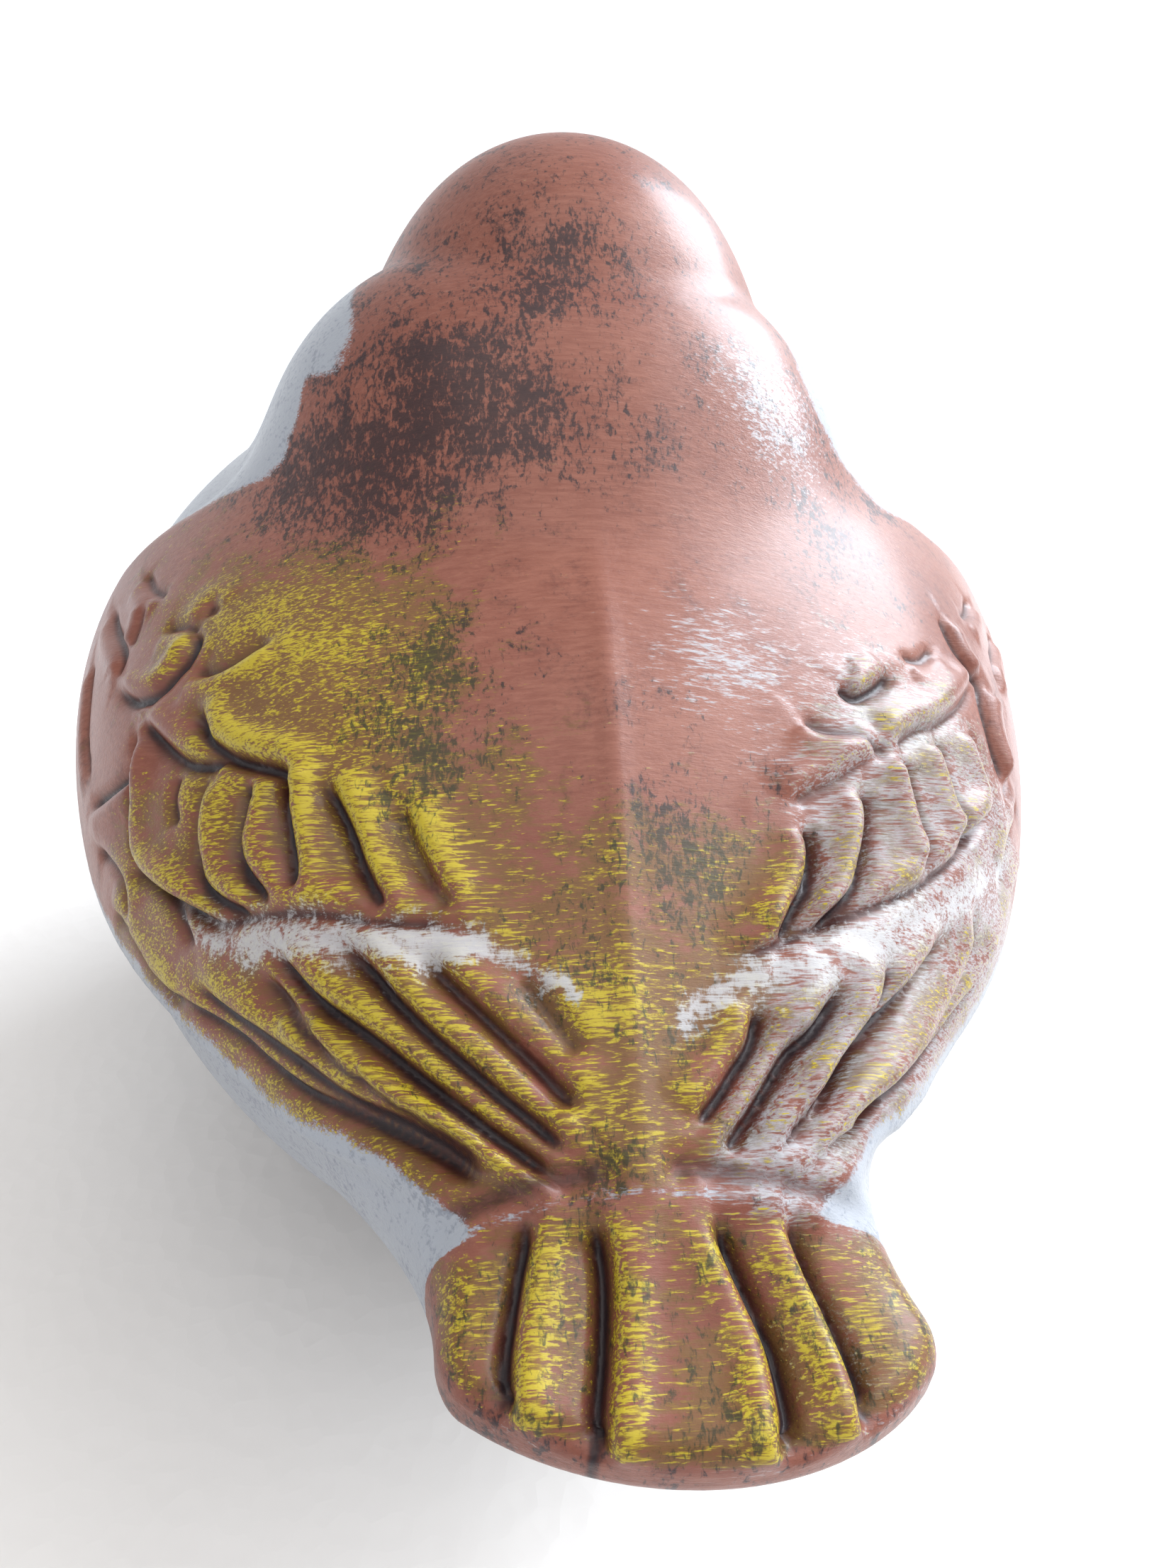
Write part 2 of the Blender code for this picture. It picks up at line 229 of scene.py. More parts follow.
# The cut of a feather line: widths in millimetres and a share of the drawn depth.
blade = {
    "share": 0.85,
    "cut": 0.8,
    "shift": 0.1,
    "lipAt": 2.2,
    "lip": 1.8,
    "troughOuter": 3.4,
    "troughInner": 0.9,
    "paint": 0.62,
    "fullDepth": 1.4,
    "rightDepth": 1.15,
    "rightLip": 1.2,
}

# Carved lines as (degrees, millimetres). The last three numbers are the depth of the cut,
# the raised lip on its spine side and the shallow trough on its outer side.
leftLines = {
    "covert1": [((67, 57.5), (70.5, 53.5), (75.5, 50), (77.3, 45), (76, 40), (72.5, 31.5)), 1.5, 1.0, 0.5],
    "covert2": [((64.3, 47.7), (66.9, 46.1), (68.5, 43.5)), 0.9, 0.2, 0.3],
    "covert3": [((60.5, 44.5), (64.3, 42), (67.4, 39.5), (69.6, 36), (68.9, 33), (67, 30.5)), 1.6, 1.0, 0.8],
    "covert4": [((55.5, 40.3), (58.5, 38), (62, 35.7), (63.3, 33), (62.5, 29)), 1.5, 0.9, 0.8],
    "covert5": [((50.9, 38.5), (53.2, 35.5), (56, 31.5), (58.3, 28.6)), 1.4, 0.9, 0.8],
    "covert6": [((46.6, 35.7), (46.8, 31), (48, 27), (47.5, 22.7)), 1.3, 0.9, 1.0],
    "covert7": [((38.2, 31), (38.6, 27), (38.3, 23.5), (36.3, 21)), 0.5, 0.8, 1.1],
    "covertEnd": [((78.3, 46), (75.5, 38.6), (72.8, 33.3), (68, 30.7), (62, 27.8), (57, 25.5), (50, 22.4),
                   (41.9, 20.6), (34, 18.9)), 0.9, 0.9, 0.0],
    "lobe1": [((57.2, 52), (57.6, 48), (56.6, 44), (53.5, 40.7), (51, 38.4), (52.4, 36.2)), 1.9, 1.1, 0.2],
    "lobe2": [((65.2, 58), (64.3, 53), (62.6, 48), (60, 45.3), (57, 44)), 1.2, 1.0, 0.6],
    "lobe3": [((67.3, 59), (69.5, 55), (75, 57.5), (81.7, 64)), 1.4, 0.8, 0.3],
    "lobeTop": [((45, 54), (50.5, 53.8), (54, 54.8), (56, 57)), 0.8, 0.7, 0.6],
    "scale1": [((53.8, 62.5), (54.8, 60), (57.4, 58.7), (60.6, 58.6), (63, 59.5), (66, 63),
                (68, 69)), 1.4, -1.0, 0.2],
    "scale2": [((58, 67), (55, 64), (53.8, 62)), 0.8, -0.5, 0.2],
    "scale3": [((52.4, 63.1), (51, 64.1), (50.6, 62.4)), 0.8, 0.3, 0.0],
    "scale4": [((59.2, 83), (58.4, 77.4), (56.6, 72.9)), 0.8, -0.6, 0.2],
    "scale5": [((66.3, 87.3), (66.1, 80.8), (65.3, 75), (65.5, 71.3), (67.3, 70)), 1.0, -0.7, 0.2],
    "scale6": [((59.6, 74.9), (61.6, 73.2), (63.8, 72)), 0.7, -0.5, 0.1],
    "scale7": [((72, 84), (74.5, 78), (77.5, 72), (79, 66)), 0.9, -0.6, 0.2],
    "side1": [((84, 59), (82.4, 54), (82.2, 49), (85, 46)), 1.0, 0.5, 0.5],
    "side2": [((79.3, 48.5), (77.6, 43.5), (77.4, 39), (78.5, 34)), 1.0, 0.4, 0.5],
    "side3": [((88, 52), (87.2, 46), (88.5, 40), (88.5, 34)), 0.9, 0.6, 0.3],
    "flight1": [((88.5, 38), (86.2, 30.7), (84.3, 25.4), (83.2, 20.9), (80.7, 15.3), (74.8, 8.8), (69, 4.3),
                 (63.7, 0.9)), 1.3, 0.8, 0.3],
    "flight2": [((82.5, 33.5), (81.8, 29), (79.7, 23), (77.3, 17.5), (75.5, 13), (72, 9.6), (66.5, 5.2),
                 (60, 1)), 1.3, 0.8, 0.3],
    "flight3": [((72.2, 27), (72.2, 22), (71.4, 16), (68.2, 10), (63.7, 5.6), (58.2, 1.6)), 0.9, 0.1, 0.9],
    "flight4": [((67.9, 26.7), (67.5, 23.5), (66.9, 19.9), (64, 15.3), (60, 9.6), (54.7, 5.2), (48.9, 2.5),
                 (40, -0.3)), 1.9, 1.1, 0.3],
    "flight5": [((57.5, 23), (55.8, 18.7), (54.6, 15), (51.7, 11.1), (46.4, 7), (39.4, 4),
                 (32.3, 1.7)), 1.7, 1.2, 0.8],
    "flight6": [((46.5, 18.5), (42.9, 14.5), (37.5, 10.6), (30.5, 7.2), (23, 4.4)), 1.1, 0.9, 1.1],
    "flight7": [((28.8, 14.9), (24.8, 12.3), (21.6, 10.4), (17, 8.3)), 0.6, 0.5, 0.5],
}

rightLines = {
    "covert2": [((65, 64), (68.2, 60.7), (70.9, 56.4), (71.5, 51.3)), 1.2, 0.6, 0.5],
    "covert3": [((59.8, 51.2), (62.6, 49), (66, 47.3), (67.8, 44.7), (67.1, 41.2),
                 (65.5, 37.6)), 1.4, 0.9, 0.6],
    "covert4": [((54.5, 45.1), (57.4, 42.8), (60.9, 40.4), (63.3, 38.9), (63.7, 36)), 1.5, 0.9, 0.8],
    "covert5": [((49.7, 39.7), (52.1, 37.7), (55.9, 35), (58.8, 33.2), (59.6, 30.5)), 1.5, 0.9, 0.9],
    "covert6": [((44.8, 34), (47.2, 31.5), (48.9, 27.8), (48.8, 24), (45.3, 19.8)), 1.6, 1.0, 1.1],
    "covert7": [((37, 28.5), (39.6, 26.4), (40.4, 23.7), (39, 20.8), (38.2, 18)), 1.6, 0.9, 0.9],
    "covertEnd": [((70, 47), (67, 40.5), (64, 34), (60, 29), (53.6, 24.3), (45.5, 20.6), (36, 17.4),
                   (26, 15.5)), 0.8, 0.8, 0.0],
    "lobe1": [((46.8, 39.3), (43.1, 36.6), (40, 33.8), (37.7, 32.4), (31, 29)), 0.5, 1.0, 0.3],
    "lobe2": [((32, 38.9), (34.7, 38.2), (38, 38.4), (41.2, 39), (45, 38.8), (47, 39.6)), 0.7, 0.7, 0.3],
    "lobe3": [((37, 44.3), (39.9, 43.7), (42.7, 46), (44.8, 49.3)), 1.1, -0.7, 0.2],
    "lobe4": [((47, 39.6), (50, 43.5), (54, 47.5), (57.5, 54), (59, 60)), 0.6, -1.1, 0.4],
    "scale1": [((61, 62), (62, 58.5), (65, 55), (70, 52)), 1.1, -0.8, 0.2],
    "scale2": [((52, 66), (55, 62), (58.5, 61), (61, 62)), 1.0, -0.7, 0.2],
    "scale3": [((46, 52.5), (49, 54), (51, 57.5)), 0.8, 0.5, 0.0],
    "scale4": [((59.2, 80), (58.4, 75), (56.6, 71)), 0.7, -0.5, 0.2],
    "scale5": [((66.3, 84), (66.1, 78), (65.3, 73), (67.3, 69)), 0.8, -0.6, 0.2],
    "side1": [((76, 58), (76.5, 52), (76, 47), (77.5, 42)), 1.0, 0.5, 0.5],
    "side3": [((84, 54), (83.5, 47), (84.5, 40), (85, 34)), 0.9, 0.6, 0.3],
    "flight1": [((86, 40), (85.5, 31), (84.8, 25), (83.5, 20), (80.5, 14), (75, 8),
                 (69, 3.5)), 1.2, 0.8, 0.4],
    "flight2": [((74.5, 35), (78.6, 31), (80, 26), (79.4, 20), (78, 14.5), (76, 9.3),
                 (68, 1.5)), 1.5, 1.0, 0.7],
    "flight3": [((70.6, 29), (69, 22.5), (67, 17.1), (65, 13), (64, 9), (63.4, 5.5)), 1.5, 1.0, 0.9],
    "flight4": [((61, 21.5), (63, 16), (62.7, 11), (62, 7), (58, 2)), 1.5, 0.9, 0.8],
    "flight5": [((54.5, 17.5), (53, 12.4), (50, 10), (48, 7), (45, 4), (40.5, 1.5)), 1.6, 1.0, 0.8],
    "flight6": [((38, 13), (38.8, 9.8), (36, 7.5), (32.6, 5.4), (26.5, 3.3)), 1.4, 0.9, 0.8],
}

# Pale leaf marks on the barbed feather of the left wing.
leafMarks = [((73.4, 21.2), (72.8, 18.3)), ((69.4, 18.4), (70.3, 13.6)), ((67.4, 12.9), (67.1, 9.4)),
             ((65.1, 9.2), (63.7, 6.9)), ((60.9, 7.2), (59, 2.9)), ((55.8, 2.9), (53.8, 0.8)),
             ((51, 1.2), (47.4, -0.2))]

# Tail lines as (across, along) seen from above, millimetres.
tailLines = {
    "tail1": [((9.3, 25.5), (10.4, 29), (11.2, 32.5), (11.7, 36), (11.6, 42), (11.6, 47)), 1.5, 0.7, 1.0],
    "tail2": [((4.1, 26.5), (3.6, 31), (4.1, 36), (4.9, 41), (5.1, 48)), 1.6, 0.7, 1.2],
    "tail3": [((-6.0, 26.5), (-7.5, 30.5), (-8.8, 34), (-9.5, 37), (-9.4, 42), (-8.6, 48)), 1.9, -0.9, 1.1],
    "tail4": [((-12.7, 26), (-13.9, 30), (-15, 33.5), (-15.8, 38), (-15.9, 42), (-15.8, 47)), 1.8, -0.8, 1.1],
}

bar = {
    "phi": (0.0, 8.0, 18.0, 28.0, 37.0, 47.0, 56.0, 62.0, 69.0, 74.0, 77.0, 80.0),
    "leftAt": (9.0, 11.5, 13.5, 15.6, 18.0, 19.8, 22.6, 25.0, 28.6, 31.5, 34.5, 38.0),
    "rightAt": (8.0, 9.5, 11.5, 13.5, 15.5, 17.8, 21.5, 25.2, 32.0, 38.5, 43.0, 48.0),
}


def wingAxes(p):
    q = p - wing["start"]
    forward = q @ wing["axis"]
    up = q @ wing["up"]
    around = np.degrees(np.arctan2(np.abs(q[:, 0]), up))
    return forward, around, np.hypot(q[:, 0], up)


def castOnWing(points):
    around = np.radians(np.array([a for a, s in points], float))
    forward = np.array([s for a, s in points], float)
    out = np.cos(around)[:, None] * wing["up"] + np.sin(around)[:, None] * np.array((1.0, 0.0, 0.0))
    p = wing["start"] + forward[:, None] * wing["axis"] + out * 110.0
    for step in range(160):
        p = p - out * birdForm(p)[:, None] * 0.7
    return p


def castOnTail(points):
    p = np.array([(x, y, 110.0) for x, y in points], float)
    for step in range(160):
        p[:, 2] -= birdForm(p) * 0.7
    return p


# A smooth curve through a few points.
def finer(points, count=5):
    points = np.array(points, float)
    ends = np.vstack([2 * points[0] - points[1], points, 2 * points[-1] - points[-2]])
    rows = []
    for i in range(len(points) - 1):
        a, b, c, d = ends[i:i + 4]
        for t in np.arange(count) / count:
            rows.append(0.5 * (2 * b + (c - a) * t + (2 * a - 5 * b + 4 * c - d) * t ** 2
                               + (3 * b - a - 3 * c + d) * t ** 3))
    rows.append(points[-1])
    return np.array(rows)


# Distance to a line on the surface, with the side it lies on and the share along it.
def lineDistance(p, n, line, reach=9.0):
    low = line.min(axis=0) - reach
    high = line.max(axis=0) + reach
    near = np.nonzero(((p > low) & (p < high)).all(axis=1))[0]
    q = p[near]
    m = n[near]
    best = np.full(len(near), 1e9)
    side = np.zeros(len(near))
    share = np.zeros(len(near))
    total = len(line) - 1
    for i in range(total):
        a = line[i]
        ab = line[i + 1] - a
        t = np.clip(((q - a) @ ab) / (ab @ ab), 0.0, 1.0)
        gap = q - a - t[:, None] * ab
        d = np.linalg.norm(gap, axis=1)
        closer = d < best
        turn = (np.cross(m, ab) * gap).sum(axis=1)
        best = np.where(closer, d, best)
        side = np.where(closer, turn, side)
        share = np.where(closer, (i + t) / total, share)
    return near, best * np.where(side >= 0.0, 1.0, -1.0), share


def carveLine(p, n, line, depth, lip, trough, relief, groove):
    near, d, share = lineDistance(p, n, line)
    ends = smooth(share, 0.0, 0.14) * (1.0 - smooth(share, 0.86, 1.0))
    ends = 0.15 + 0.85 * ends
    caps = 1.0 - smooth(np.abs(d), 7.0, 9.0)
    lipSide = 1.0 if lip >= 0.0 else -1.0
    e = d * lipSide
    cut = bell(e + blade["shift"], blade["cut"]) * depth * blade["share"] * ends
    ridge = bell(e - blade["lipAt"], blade["lip"]) * abs(lip) * blade["share"] * ends
    hollow = np.where(e < 0.0, bell(e, blade["troughOuter"]), bell(e, blade["troughInner"])) * trough * ends
    relief[near] += (ridge - cut - hollow) * caps
    painted = bell(e + blade["shift"], blade["paint"]) * ends * min(1.0, depth / blade["fullDepth"])
    groove[near] = np.maximum(groove[near], painted)


# Carving height over the plain form, and the depth of grooves, at each point.
def carving(p):
    n = normals(p)
    forward, around, reach = wingAxes(p)
    left = p[:, 0] > 0.0
    mirrored = p.copy()
    mirrored[:, 0] = np.abs(p[:, 0])
    mirroredNormal = n.copy()
    mirroredNormal[:, 0] = np.where(left, n[:, 0], -n[:, 0])
    relief = np.zeros(len(p))
    groove = np.zeros(len(p))
    for lines, side in ((leftLines, left), (rightLines, ~left)):
        own = np.nonzero(side & (forward > -8.0))[0]
        r = np.zeros(len(own))
        g = np.zeros(len(own))
        for points, depth, lip, trough in lines.values():
            line = castOnWing(finer(points))
            if lines is rightLines:
                depth, lip = depth * blade["rightDepth"], lip * blade["rightLip"]
            carveLine(mirrored[own], mirroredNormal[own], line, depth, lip, trough, r, g)
        if lines is leftLines:
            for start, end in leafMarks:
                line = castOnWing(finer((start, end)))
                near, d, share = lineDistance(mirrored[own], mirroredNormal[own], line, 5.0)
                r[near] += 1.0 * bell(d, 0.75 + 0.35 * np.sin(share * math.pi))
        relief[own] += r
        groove[own] = g
    onTop = smooth(n[:, 2], 0.1, 0.6)
    tailRelief = np.zeros(len(p))
    for points, depth, lip, trough in tailLines.values():
        line = castOnTail(finer(points))
        carveLine(p, n, line, depth, lip, trough, tailRelief, groove)
    relief += tailRelief * onTop

    edge = np.interp(forward, wing["edgeAt"], wing["edgePhi"])
    front = np.interp(around, wing["frontPhi"], wing["frontAt"])
    toEdge = (edge - around) * math.radians(1.0) * np.clip(reach, 18.0, 80.0)
    toFront = front - forward
    inside = np.minimum(blend(toEdge, toFront, wing["cornerBlend"]), forward + 1.5)
    softness = wing["stepWidth"] * (1.0 + 2.6 * smooth(forward, 55.0, 85.0))
    proud = wing["proud"] * smooth(inside, -softness, softness) * smooth(around, 20.0, 62.0)
    proud = proud * (0.3 + 0.7 * smooth(forward, 0.0, 20.0))
    ridge = (0.35 * bell(p[:, 0], 1.4) + 0.5 * bell(p[:, 0], 4.5)) * smooth(forward, -9.0, 2.0)
    ridge = ridge * (1.0 - smooth(forward, 34.0, 66.0)) * (p[:, 2] > 60.0)
    crease = bell(forward - 0.4, 1.3) * smooth(around, 8.0, 22.0) * (1.0 - smooth(around, 74.0, 92.0))
    groove = np.maximum(groove, crease * 0.55)
    return relief + proud + ridge - 0.9 * crease, relief, groove, inside


def readPoints(mesh):
    p = np.empty(len(mesh.vertices) * 3)
    mesh.vertices.foreach_get("co", p)
    return p.reshape(-1, 3)


def writePoints(mesh, p):
    mesh.vertices.foreach_set("co", p.ravel())
    mesh.update()


def readEdges(mesh):
    e = np.empty(len(mesh.edges) * 2, dtype=np.int64)
    mesh.edges.foreach_get("vertices", e)
    return e.reshape(-1, 2)


def averaged(values, edges, count, turns):
    degree = np.bincount(edges.ravel(), minlength=count).astype(float)
    if values.ndim > 1:
        degree = degree[:, None]
    for turn in range(turns):
        total = np.zeros_like(values)
        np.add.at(total, edges[:, 0], values[edges[:, 1]])
        np.add.at(total, edges[:, 1], values[edges[:, 0]])
        values = values + (total / degree - values) * 0.45
    return values


def toPattern(p):
    return p / pattern["scale"] + np.array(pattern["origin"])


def toReal(p):
    return (p - np.array(pattern["origin"])) * pattern["scale"]


def makeFigure():
    bpy.ops.object.select_all(action="DESELECT")
    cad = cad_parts["sparrow"]
    piece = cad.copy()
    piece.data = cad.data.copy()
    piece.parent = None
    piece.matrix_world = Matrix.Identity(4)
    bpy.context.scene.collection.objects.link(piece)
    piece.name = figure["name"]
    piece.data.name = figure["name"]
    piece.select_set(True)
    bpy.context.view_layer.objects.active = piece
    bpy.ops.object.mode_set(mode="EDIT")
    bpy.ops.mesh.select_all(action="SELECT")
    bpy.ops.mesh.remove_doubles(threshold=0.00001)
    bpy.ops.object.mode_set(mode="OBJECT")
    skin = piece.modifiers.new("skin", "REMESH")
    skin.mode = "VOXEL"
    skin.voxel_size = figure["voxel"]
    bpy.ops.object.modifier_apply(modifier=skin.name)
    mesh = piece.data
    print("skin vertices", len(mesh.vertices))

    edges = readEdges(mesh)
    p = toPattern(readPoints(mesh))
    for turn in range(figure["evenTurns"]):
        p = averaged(p, edges, len(p), 1)
        p = pullOntoForm(p, 1)
    p = pullOntoForm(p, 2)
    height, relief, groove, inside = carving(p)
    p = toReal(p + normals(p) * height[:, None])
    low = np.array(cadBox[0])
    high = np.array(cadBox[1])
    p = np.clip(p, low, high)
    floor = figure["footHeight"] * pattern["scale"]
    p[:, 2] = np.where(p[:, 2] < floor, 0.0, p[:, 2])
    writePoints(mesh, p)

    count = sum(len(f.vertices) - 2 for f in mesh.polygons)
    if count > figure["triangles"]:
        thin = piece.modifiers.new("thin", "DECIMATE")
        thin.decimate_type = "COLLAPSE"
        thin.ratio = figure["triangles"] / count
        bpy.ops.object.modifier_apply(modifier=thin.name)
    bpy.ops.object.shade_smooth()
    print("figure faces", len(piece.data.polygons), "from", count, "triangles")
    return piece


# The brown cap: its half width at each height, pattern millimetres.
cap = {
    "heights": (96.0, 107.0, 115.0, 121.0, 128.5, 134.0, 150.0),
    "widths": (50.0, 40.5, 34.0, 31.0, 28.5, 30.0, 40.0),
    "browHeight": 124.0,
    "frontY": -92.0,
    "lowest": 98.0,
}

# Strength of each dry-brushed paint over whole areas, a pair being left and right; the wing silver is partly
# painted highlight. The edges of eye and beak paint are distances from their forms, in pattern millimetres.
cover = {
    "wingOchre": (0.78, 0.56),
    "tailOchre": (0.85, 0.80),
    "wingSilverSheen": (0.0, 0.95),
    "barWiden": (1.35, 1.75),
    "nape": 0.50,
    "napeLeft": 0.22,
    "rim": 0.75,
    "tailSmudge": 0.6,
    "paleShoulder": 8.0,
    "lowEdge": 2.7,
    "eyeEdge": (4.9, 4.6),
    "beakEdge": (3.6, 3.0),
}

# Where the dry brush went, as (x, y, z, radius, strength) in pattern millimetres; silver spots are partly
# painted highlights.
brushSpots = {
    "smudge": [
        (6, -62, 142, 13, 1.2), (-2, -61, 142, 12, 1.05), (-8, -59, 139, 8, 0.6),
        (18, -53, 123, 14, 1.1), (12, -49, 124, 13, 1.0), (24, -50, 115, 15, 1.15),
        (32, -54, 112, 14, 1.1), (2, -47, 128, 11, 0.7), (6, -45, 122, 11, 0.8),
        (-5, -45, 123, 9, 0.7), (24, -33, 106, 10, 0.5), (19, -22, 103, 11, 0.85),
        (18, -14, 99, 10, 0.85), (21, -10, 96, 8, 0.6), (9, -23, 106, 9, 0.4),
        (-6, -3, 95, 9, 0.75), (-8, 4, 91, 9, 0.75), (-4, 2, 93, 8, 0.72), (0, 7, 90, 7, 0.5),
        (-13, -4, 95, 10, 0.7), (-7, -14, 102, 9, 0.45), (-25, -51, 113, 9, 0.6),
        (-30, -46, 108, 10, 0.8), (3, 24, 82, 5, 1.0), (6, 8, 91, 8, 0.8), (14, 16, 86, 9, 0.6),
        (-4, 16, 87, 7, 0.7), (-8, 34, 79, 8, 0.7), (10, 30, 79, 6, 0.6), (4, 38, 79, 8, 0.6),
        (-30, -30, 98, 10, 0.5), (-36, -60, 112, 8, 0.8), (-34, -40, 102, 12, 0.5)
    ],
    "ochre": [
        (50, -64, 98, 16, 0.45), (44, -42, 97, 15, 0.7), (35, -34, 101, 14, 0.9),
        (28, -28, 102, 14, 0.9), (22, -20, 102, 12, 0.8), (34, -24, 97, 13, 0.95),
        (27, -14, 96, 13, 0.95), (21, -7, 94, 11, 0.85), (15, -2, 93, 10, 0.75),
        (10, 4, 90, 10, 0.75), (1, 0, 95, 9, 0.6), (1, 11, 88, 9, 1.0), (1, 20, 84, 9, 1.0),
        (12, -9, 98, 10, 0.6), (-8, 10, 88, 10, 0.8), (-12, 0, 92, 10, 0.8),
        (18, -40, 110, 13, 0.35), (26, -50, 112, 10, 0.3)
    ],
    # Silver: grey dry-brush together with painted highlights where the glaze catches the light.
    "silverSheen": [
        (-16, 36, 76, 8, 0.75), (-20, 28, 74, 7, 0.6), (-8, 42, 75, 6, 0.5), (12, 42, 74, 5, 0.4),
        (-22, -14, 97, 13, 0.5), (-30, -4, 90, 14, 0.75), (-18, 12, 86, 12, 0.95),
        (-24, 6, 85, 14, 0.95), (-13, 22, 82, 9, 1.0), (-36, -14, 87, 14, 0.6),
        (-13, -22, 104, 10, 0.75), (-23, -60, 121, 10, 0.95), (-24, -57, 115, 9, 0.8),
        (-38, -2, 82, 14, 0.8), (-28, -24, 101, 10, 0.75)
    ],
}


def spotted(p, spots):
    total = np.zeros(len(p))
    for x, y, z, radius, strength in spots:
        d2 = ((p - np.array((x, y, z))) ** 2).sum(axis=1)
        halo = 0.12 * strength * np.exp(-d2 / radius ** 2)
        total = np.maximum(total, strength * np.exp(-d2 / radius ** 2 * 0.9)) + halo
    return np.clip(total, 0.0, 1.2)


def addValue(mesh, name, values):
    layer = mesh.attributes.new(name, "FLOAT", "POINT")
    layer.data.foreach_set("value", values.astype(np.float32))


def markFigure(piece):
    mesh = piece.data
    p = pullOntoForm(toPattern(readPoints(mesh)), 2)
    n = normals(p)
    height, relief, groove, inside = carving(p)
    local = relief - averaged(relief, readEdges(mesh), len(p), figure["levelTurns"])
    forward, around, reach = wingAxes(p)
    left = p[:, 0] > 0.0
    barLeft = np.interp(around, bar["phi"], bar["leftAt"])
    barRight = np.interp(around, bar["phi"], bar["rightAt"])
    barAt = np.where(left, barLeft, barRight)
    barWidth = (1.6 + 2.6 * smooth(around, 15.0, 60.0)) * np.where(left, *cover["barWiden"])
    pale = np.clip(1.0 - np.abs(forward - barAt) / barWidth, -2.0, 1.0)
    pale = pale - 3.0 * smooth(around, 77.0, 84.0) - 3.0 * (1.0 - smooth(around, 5.0, 16.0))
    capWidth = np.interp(p[:, 2], cap["heights"], cap["widths"])
    aboveBrow = np.maximum(p[:, 2] - cap["browHeight"], p[:, 1] - cap["frontY"])
    onHead = np.minimum(capWidth - np.abs(p[:, 0]), aboveBrow)
    onHead = np.where(p[:, 2] > cap["lowest"], onHead, -30.0)
    onTail = smooth(-forward, -1.0, 4.0)
    paleShoulder = cover["paleShoulder"] * bell(around - 37.0, 14.0) * smooth(forward, 66.0, 78.0)
    lowEdge = cover["lowEdge"] * smooth(around, 70.0, 85.0)
    brown = np.maximum(np.maximum(inside - paleShoulder - lowEdge, onHead), onTail * 20.0 - 10.0)
    ochre = spotted(p, brushSpots["ochre"])
    onWing = smooth(around, 24.0, 40.0) * smooth(60.0 - forward, 0.0, 14.0) * smooth(inside, -1.0, 3.0)
    ochre = np.maximum(ochre, onWing * np.where(left, *cover["wingOchre"]))
    tailRim = onTail * (1.0 - smooth(n[:, 2], 0.15, 0.55))
    ochre = np.maximum(ochre, onTail * np.where(left, *cover["tailOchre"])) * (1.0 - 0.9 * tailRim)
    smudge = spotted(p, brushSpots["smudge"])
    nape = smooth(p[:, 2], 108.0, 120.0) * (cover["nape"] + cover["napeLeft"] * smooth(p[:, 0], 5.0, 25.0))
    rim = cover["rim"] * bell(brown - 1.5, 3.0) * smooth(p[:, 2], 84.0, 100.0)
    smudge = np.maximum(smudge, np.maximum(np.maximum(nape, rim), onTail * cover["tailSmudge"]))
    # Silver: grey paint and painted highlight together, on the right wing only.
    silverSheen = np.maximum(spotted(p, brushSpots["silverSheen"]), onWing * np.where(left, *cover["wingSilverSheen"]))
    values = {
        "relief": local, "groove": groove, "pale": pale, "brown": brown, "ochre": ochre, "smudge": smudge,
        "silverSheen": silverSheen, "eye": eyeDistance(p), "beak": ellipsoid(p, *head["beak"]),
    }
    for name, amount in values.items():
        addValue(mesh, name, amount)
    print("figure marked")


piece = makeFigure()
markFigure(piece)


class Wire:
    def __init__(self, nodes, socket):
        self.nodes = nodes
        self.socket = socket

    def maths(self, operation, *others):
        return self.nodes.add("ShaderNodeMath", {"operation": operation}, [self, *others])

    def __add__(self, other):
        return self.maths("ADD", other)

    def __sub__(self, other):
        return self.maths("SUBTRACT", other)

    def __mul__(self, other):
        return self.maths("MULTIPLY", other)

    def __radd__(self, other):
        return self.nodes.add("ShaderNodeMath", {"operation": "ADD"}, [other, self])

    def __rsub__(self, other):
        return self.nodes.add("ShaderNodeMath", {"operation": "SUBTRACT"}, [other, self])


class Finish:
    def __init__(self, name):
        self.material = bpy.data.materials.new(name)
        self.material.use_nodes = True
        self.tree = self.material.node_tree
        self.shader = self.tree.nodes["Principled BSDF"]

    def add(self, kind, settings, values, output=0):
        node = self.tree.nodes.new(kind)
        for key, value in settings.items():
            setattr(node, key, value)
        pairs = values.items() if isinstance(values, dict) else enumerate(values)
        for key, value in pairs:
            self.join(node.inputs[key], value)
        return Wire(self, node.outputs[output])

    def join(self, socket, value):
        if isinstance(value, Wire):
            self.tree.links.new(value.socket, socket)
        else:
            socket.default_value = value

    def value(self, name):
        return self.add("ShaderNodeAttribute", {"attribute_name": name}, {}, "Fac")

    def place(self, scale, turn=(0.0, 0.0, 0.0)):
        spot = self.add("ShaderNodeTexCoord", {}, {}, "Object")
        return self.add("ShaderNodeMapping", {}, {"Vector": spot, "Scale": scale, "Rotation": turn})

    def noise(self, spot, scale, detail=3.0, rough=0.55, warp=0.0):
        return self.add("ShaderNodeTexNoise", {}, {"Vector": spot, "Scale": scale, "Detail": detail,
                                                   "Roughness": rough, "Distortion": warp})

    def between(self, value, low, high):
        return self.add("ShaderNodeMapRange", {"interpolation_type": "SMOOTHSTEP"},
                        {"Value": value, "From Min": low, "From Max": high})

    def mix(self, share, a, b):
        node = self.tree.nodes.new("ShaderNodeMix")
        node.data_type = "RGBA"
        self.join(node.inputs[0], share)
        self.join(node.inputs[6], a)
        self.join(node.inputs[7], b)
        return Wire(self, node.outputs[2])

    def bump(self, height, distance, strength):
        return self.add("ShaderNodeBump", {}, {"Height": height, "Distance": distance, "Strength": strength})


